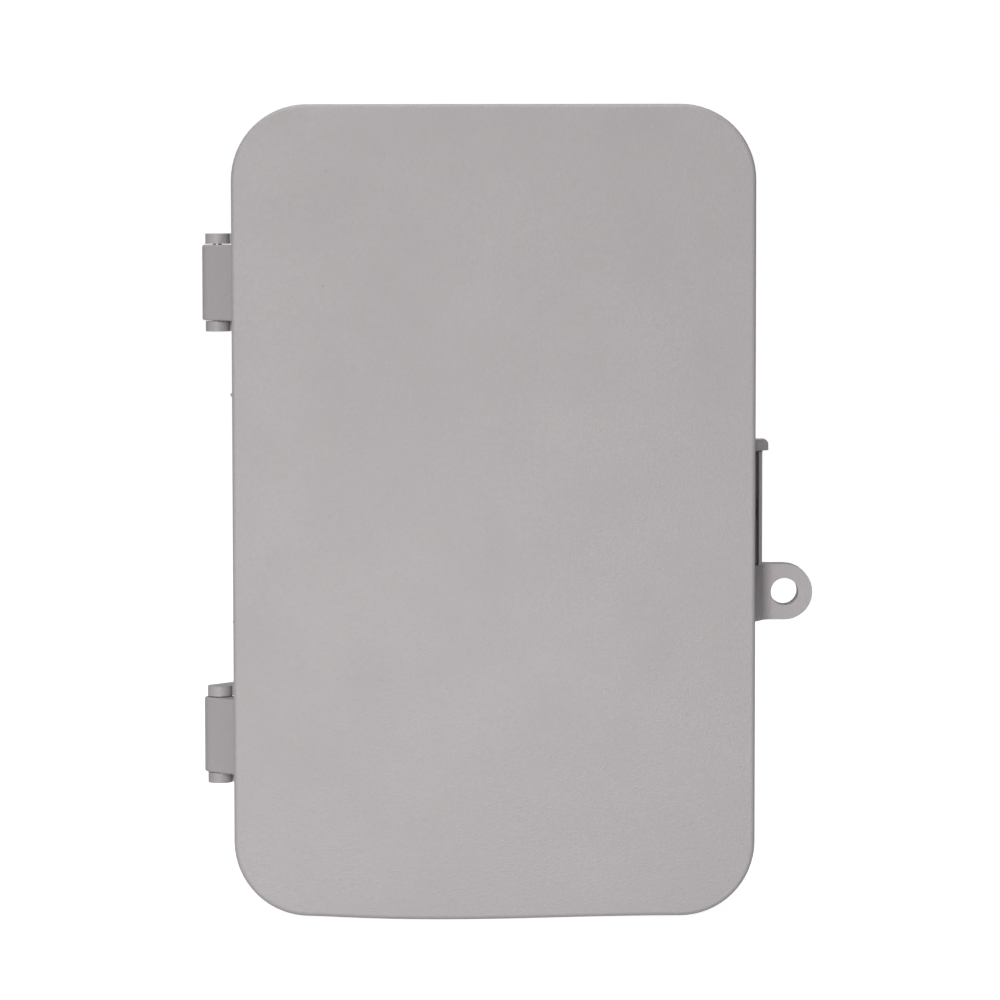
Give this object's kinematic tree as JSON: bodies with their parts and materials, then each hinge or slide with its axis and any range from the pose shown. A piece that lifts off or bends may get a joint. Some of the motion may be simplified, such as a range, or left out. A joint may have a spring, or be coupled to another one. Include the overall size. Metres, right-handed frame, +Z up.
{
  "type": "irrigation controller",
  "caption": "Wall-mounted outdoor sprinkler timer: grey plastic case with a hinged door, rocking latch and padlock tab, control panel, terminals and transformer inside.",
  "frame": {"origin": "centre of the case's back face, which lies against the wall", "axes": "+X right and +Z up for someone who faces the door, +Y out of the back face into the wall, so the door faces -Y"},
  "size_m": [0.2119, 0.115, 0.2814],
  "materials": {
    "enclosure": "fine pebbled grey moulding",
    "panel": "light grey moulding",
    "dark_plastic": "dark grey moulding",
    "key": "dark grey keys",
    "start_key": "green keys",
    "terminal": "green terminal moulding",
    "mains": "mid grey moulding",
    "rubber": "black rubber",
    "board": "green solder mask",
    "display": "grey-green liquid crystal display",
    "window": "clear polished window",
    "card": "printed card",
    "winding": "taped and varnished winding",
    "ribbon": "grey ribbon cable",
    "lead": "yellow insulation",
    "steel": "zinc-plated steel",
    "core": "laminated steel"
  },
  "bodies": {
    "case": {"case_shell": "enclosure", "wire_grommet": "rubber", "upper_hinge_pin": "steel", "lower_hinge_pin": "steel", "conduit_plug": "dark_plastic", "panel_fascia": "panel", "panel_back_cover": "dark_plastic", "control_board": "board", "display_module": "display", "display_window": "window", "dial_switch": "dark_plastic", "backup_cell": "steel", "terminal_shelf": "panel", "terminal_block": "terminal", "ribbon_cable": "ribbon", "secondary_lead_1": "lead", "secondary_lead_2": "lead", "mains_cover": "mains", "mains_cover_screw": "steel", "transformer_core": "core", "transformer_coil": "winding", "transformer_strap_upper": "steel", "transformer_strap_lower": "steel", "panel_screw_1": "steel", "panel_screw_2": "steel", "panel_screw_3": "steel", "panel_screw_4": "steel", "terminal_screw_1": "steel", "terminal_screw_2": "steel", "terminal_screw_3": "steel", "terminal_screw_4": "steel", "terminal_screw_5": "steel", "terminal_screw_6": "steel", "terminal_screw_7": "steel", "terminal_screw_8": "steel", "terminal_screw_9": "steel", "terminal_screw_10": "steel"},
    "door": {"door_shell": "enclosure", "door_gasket": "rubber", "guide_card": "card"},
    "latch": {"latch_lever": "enclosure", "latch_spring": "steel"},
    "program_dial": {"program_dial": "dark_plastic"},
    "key_back": {"key_back": "key"},
    "key_minus": {"key_minus": "key"},
    "key_plus": {"key_plus": "key"},
    "key_next": {"key_next": "key"},
    "key_manual": {"key_manual": "start_key"},
    "key_start": {"key_start": "start_key"},
    "sensor_switch": {"sensor_switch": "dark_plastic"}
  },
  "joints": [
    {"name": "door_hinge", "type": "hinge", "parent": "case", "child": "door", "pos_m": [-0.0959, -0.095, 0], "axis": [0, 0, -1], "range_deg": [0, 165]},
    {"name": "latch_rock", "type": "hinge", "parent": "door", "child": "latch", "pos_m": [0.0915, -0.101, 0], "axis": [0, 0, -1], "range_deg": [0, 8], "stiffness_Nm_per_rad": 0.02, "deforming": ["latch_spring"]},
    {"name": "dial_turn", "type": "hinge", "parent": "case", "child": "program_dial", "pos_m": [0, -0.095, 0.014], "axis": [0, -1, 0], "continuous": true},
    {"name": "key_back_press", "type": "slide", "parent": "case", "child": "key_back", "axis": [0, 1, 0], "range_m": [0, 0.0012], "stiffness_N_per_m": 300},
    {"name": "key_minus_press", "type": "slide", "parent": "case", "child": "key_minus", "axis": [0, 1, 0], "range_m": [0, 0.0012], "stiffness_N_per_m": 300},
    {"name": "key_plus_press", "type": "slide", "parent": "case", "child": "key_plus", "axis": [0, 1, 0], "range_m": [0, 0.0012], "stiffness_N_per_m": 300},
    {"name": "key_next_press", "type": "slide", "parent": "case", "child": "key_next", "axis": [0, 1, 0], "range_m": [0, 0.0012], "stiffness_N_per_m": 300},
    {"name": "key_manual_press", "type": "slide", "parent": "case", "child": "key_manual", "axis": [0, 1, 0], "range_m": [0, 0.0012], "stiffness_N_per_m": 300},
    {"name": "key_start_press", "type": "slide", "parent": "case", "child": "key_start", "axis": [0, 1, 0], "range_m": [0, 0.0012], "stiffness_N_per_m": 300},
    {"name": "sensor_slide", "type": "slide", "parent": "case", "child": "sensor_switch", "axis": [1, 0, 0], "range_m": [0, 0.005]}
  ]
}
